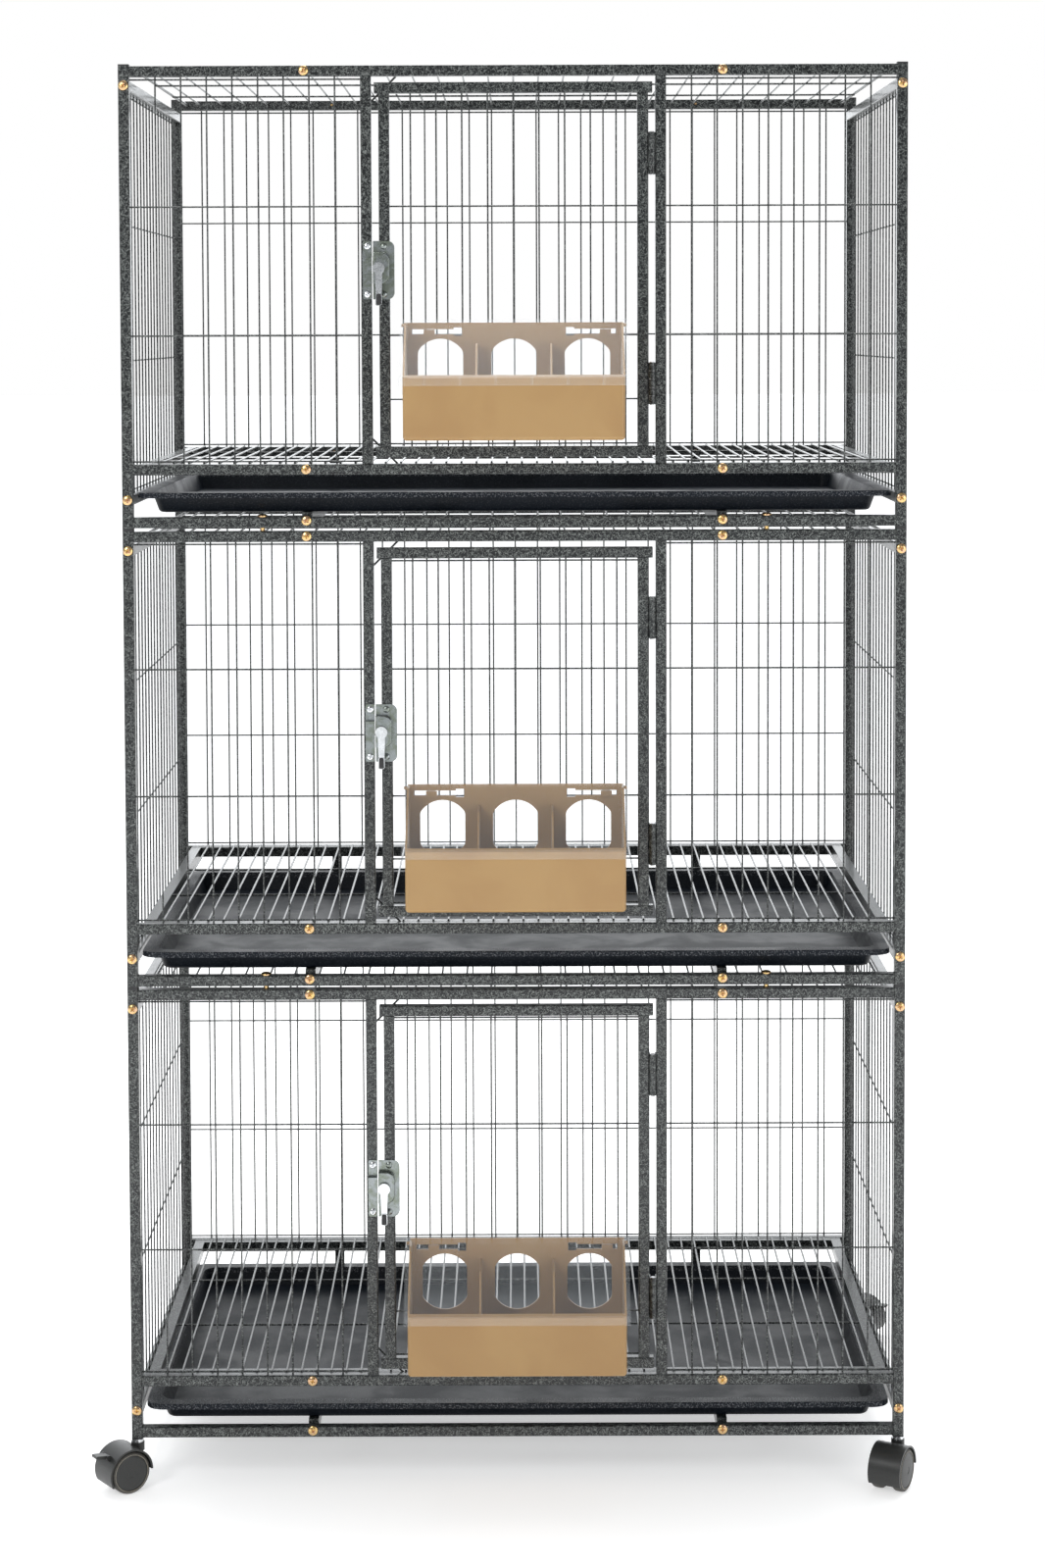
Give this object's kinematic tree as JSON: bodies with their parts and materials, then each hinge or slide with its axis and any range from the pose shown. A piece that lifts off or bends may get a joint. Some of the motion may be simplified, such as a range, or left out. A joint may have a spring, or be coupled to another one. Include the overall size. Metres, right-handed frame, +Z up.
{
  "type": "stacked rolling small-animal cage",
  "caption": "Rolling stack of wire cages on a square-tube frame, with hinged front doors, hanging feeders, slide-out trays and twin-wheel casters.",
  "frame": {"origin": "on the floor under the middle of the whole object's box, feeders and casters included", "axes": "+Z up, -Y towards the front with the doors, +X to the right as seen from the front"},
  "size_m": [1.009, 0.6618, 1.687],
  "materials": {
    "vein_coat": "black and silver vein powder coat, semi-gloss",
    "steel": "plain steel",
    "zinc": "bright zinc plate",
    "plated_steel": "bright plated",
    "brass": "yellow zinc, semi-bright",
    "black_plastic": "moulded, matte",
    "caster_plastic": "moulded, satin",
    "caster_tread": "hard moulded tread",
    "tray_plastic": "moulded, fine pebble",
    "feeder_plastic": "moulded, satin tan",
    "clear_plastic": "clear moulded"
  },
  "bodies": {
    "frame": {"lower_front_panel": "vein_coat", "lower_back_panel": "vein_coat", "lower_left_panel": "vein_coat", "lower_right_panel": "vein_coat", "lower_roof_panel": "vein_coat", "lower_floor_grille": "vein_coat", "middle_front_panel": "vein_coat", "middle_back_panel": "vein_coat", "middle_left_panel": "vein_coat", "middle_right_panel": "vein_coat", "middle_roof_panel": "vein_coat", "middle_floor_grille": "vein_coat", "upper_front_panel": "vein_coat", "upper_back_panel": "vein_coat", "upper_left_panel": "vein_coat", "upper_right_panel": "vein_coat", "upper_roof_panel": "vein_coat", "upper_floor_grille": "vein_coat", "frame_hinge_leaves": "vein_coat", "hinge_pins": "steel", "latch_keepers": "zinc", "tray_runners": "vein_coat", "frame_screws": "brass", "stacking_bolts": "brass", "post_plugs": "black_plastic", "caster_stems": "plated_steel"},
    "lower_door": {"lower_door": "vein_coat", "lower_door_hinge_leaves": "vein_coat", "lower_latch_case": "zinc"},
    "lower_latch_lever": {"lower_latch_lever": "plated_steel"},
    "lower_latch_bolt": {"lower_latch_bolt": "zinc"},
    "lower_feeder": {"lower_feeder_tub": "feeder_plastic"},
    "lower_feeder_cover": {"lower_feeder_cover": "clear_plastic"},
    "lower_tray": {"lower_tray": "tray_plastic"},
    "middle_door": {"middle_door": "vein_coat", "middle_door_hinge_leaves": "vein_coat", "middle_latch_case": "zinc"},
    "middle_latch_lever": {"middle_latch_lever": "plated_steel"},
    "middle_latch_bolt": {"middle_latch_bolt": "zinc"},
    "middle_feeder": {"middle_feeder_tub": "feeder_plastic"},
    "middle_feeder_cover": {"middle_feeder_cover": "clear_plastic"},
    "middle_tray": {"middle_tray": "tray_plastic"},
    "upper_door": {"upper_door": "vein_coat", "upper_door_hinge_leaves": "vein_coat", "upper_latch_case": "zinc"},
    "upper_latch_lever": {"upper_latch_lever": "plated_steel"},
    "upper_latch_bolt": {"upper_latch_bolt": "zinc"},
    "upper_feeder": {"upper_feeder_tub": "feeder_plastic"},
    "upper_feeder_cover": {"upper_feeder_cover": "clear_plastic"},
    "upper_tray": {"upper_tray": "tray_plastic"},
    "front_left_caster": {"front_left_caster_hood": "caster_plastic"},
    "front_left_wheels": {"front_left_caster_wheels": "caster_tread"},
    "front_left_brake": {"front_left_brake_pedal": "caster_plastic"},
    "front_right_caster": {"front_right_caster_hood": "caster_plastic"},
    "front_right_wheels": {"front_right_caster_wheels": "caster_tread"},
    "rear_left_caster": {"rear_left_caster_hood": "caster_plastic"},
    "rear_left_wheels": {"rear_left_caster_wheels": "caster_tread"},
    "rear_right_caster": {"rear_right_caster_hood": "caster_plastic"},
    "rear_right_wheels": {"rear_right_caster_wheels": "caster_tread"},
    "rear_right_brake": {"rear_right_brake_pedal": "caster_plastic"}
  },
  "joints": [
    {"name": "lower_door_hinge", "type": "hinge", "parent": "frame", "child": "lower_door", "pos_m": [0.1613, -0.23043, 0.361], "axis": [0, 0, 1], "range_deg": [0, 105]},
    {"name": "lower_latch_turn", "type": "hinge", "parent": "lower_door", "child": "lower_latch_lever", "pos_m": [-0.157, -0.23943, 0.363], "axis": [0, -1, 0], "range_deg": [0, 60]},
    {"name": "lower_latch_throw", "type": "slide", "parent": "lower_door", "child": "lower_latch_bolt", "axis": [-1, 0, 0], "range_m": [0, 0.005]},
    {"name": "lower_feeder_lift", "type": "slide", "parent": "lower_door", "child": "lower_feeder", "axis": [0, 0, 1], "range_m": [0, 0.008]},
    {"name": "lower_cover_hinge", "type": "hinge", "parent": "lower_feeder", "child": "lower_feeder_cover", "pos_m": [0, -0.23543, 0.2965], "axis": [-1, 0, 0], "range_deg": [0, 80]},
    {"name": "lower_tray_slide", "type": "slide", "parent": "frame", "child": "lower_tray", "axis": [0, -1, 0], "range_m": [0, 0.45]},
    {"name": "middle_door_hinge", "type": "hinge", "parent": "frame", "child": "middle_door", "pos_m": [0.1613, -0.23043, 0.904], "axis": [0, 0, 1], "range_deg": [0, 105]},
    {"name": "middle_latch_turn", "type": "hinge", "parent": "middle_door", "child": "middle_latch_lever", "pos_m": [-0.157, -0.23943, 0.906], "axis": [0, -1, 0], "range_deg": [0, 60]},
    {"name": "middle_latch_throw", "type": "slide", "parent": "middle_door", "child": "middle_latch_bolt", "axis": [-1, 0, 0], "range_m": [0, 0.005]},
    {"name": "middle_feeder_lift", "type": "slide", "parent": "middle_door", "child": "middle_feeder", "axis": [0, 0, 1], "range_m": [0, 0.008]},
    {"name": "middle_cover_hinge", "type": "hinge", "parent": "middle_feeder", "child": "middle_feeder_cover", "pos_m": [0, -0.23543, 0.8395], "axis": [-1, 0, 0], "range_deg": [0, 80]},
    {"name": "middle_tray_slide", "type": "slide", "parent": "frame", "child": "middle_tray", "axis": [0, -1, 0], "range_m": [0, 0.45]},
    {"name": "upper_door_hinge", "type": "hinge", "parent": "frame", "child": "upper_door", "pos_m": [0.1613, -0.23043, 1.447], "axis": [0, 0, 1], "range_deg": [0, 105]},
    {"name": "upper_latch_turn", "type": "hinge", "parent": "upper_door", "child": "upper_latch_lever", "pos_m": [-0.157, -0.23943, 1.449], "axis": [0, -1, 0], "range_deg": [0, 60]},
    {"name": "upper_latch_throw", "type": "slide", "parent": "upper_door", "child": "upper_latch_bolt", "axis": [-1, 0, 0], "range_m": [0, 0.005]},
    {"name": "upper_feeder_lift", "type": "slide", "parent": "upper_door", "child": "upper_feeder", "axis": [0, 0, 1], "range_m": [0, 0.008]},
    {"name": "upper_cover_hinge", "type": "hinge", "parent": "upper_feeder", "child": "upper_feeder_cover", "pos_m": [0, -0.23543, 1.3825], "axis": [-1, 0, 0], "range_deg": [0, 80]},
    {"name": "upper_tray_slide", "type": "slide", "parent": "frame", "child": "upper_tray", "axis": [0, -1, 0], "range_m": [0, 0.45]},
    {"name": "front_left_swivel", "type": "hinge", "parent": "frame", "child": "front_left_caster", "pos_m": [-0.45365, -0.22308, 0.054], "axis": [0, 0, 1], "continuous": true},
    {"name": "front_left_roll", "type": "hinge", "parent": "front_left_caster", "child": "front_left_wheels", "pos_m": [-0.46902, -0.23425, 0.025], "axis": [0.5878, -0.809, 0], "continuous": true},
    {"name": "front_left_brake_press", "type": "hinge", "parent": "front_left_caster", "child": "front_left_brake", "pos_m": [-0.48854, -0.24843, 0.04525], "axis": [0.5878, -0.809, 0], "range_deg": [0, 20]},
    {"name": "front_right_swivel", "type": "hinge", "parent": "frame", "child": "front_right_caster", "pos_m": [0.45365, -0.22308, 0.054], "axis": [0, 0, 1], "continuous": true},
    {"name": "front_right_roll", "type": "hinge", "parent": "front_right_caster", "child": "front_right_wheels", "pos_m": [0.44473, -0.23985, 0.025], "axis": [0.8829, -0.4695, 0], "continuous": true},
    {"name": "rear_left_swivel", "type": "hinge", "parent": "frame", "child": "rear_left_caster", "pos_m": [-0.45365, 0.30922, 0.054], "axis": [0, 0, 1], "continuous": true},
    {"name": "rear_left_roll", "type": "hinge", "parent": "rear_left_caster", "child": "rear_left_wheels", "pos_m": [-0.44473, 0.29245, 0.025], "axis": [0.8829, 0.4695, 0], "continuous": true},
    {"name": "rear_right_swivel", "type": "hinge", "parent": "frame", "child": "rear_right_caster", "pos_m": [0.45365, 0.30922, 0.054], "axis": [0, 0, 1], "continuous": true},
    {"name": "rear_right_roll", "type": "hinge", "parent": "rear_right_caster", "child": "rear_right_wheels", "pos_m": [0.46902, 0.29805, 0.025], "axis": [0.5878, 0.809, 0], "continuous": true},
    {"name": "rear_right_brake_press", "type": "hinge", "parent": "rear_right_caster", "child": "rear_right_brake", "pos_m": [0.48854, 0.28387, 0.04525], "axis": [0.5878, 0.809, 0], "range_deg": [0, 20]}
  ],
  "couplings": [
    {"joint": "lower_latch_throw", "follows": "lower_latch_turn", "m_per_rad": 0.0047699},
    {"joint": "middle_latch_throw", "follows": "middle_latch_turn", "m_per_rad": 0.0047699},
    {"joint": "upper_latch_throw", "follows": "upper_latch_turn", "m_per_rad": 0.0047699}
  ]
}
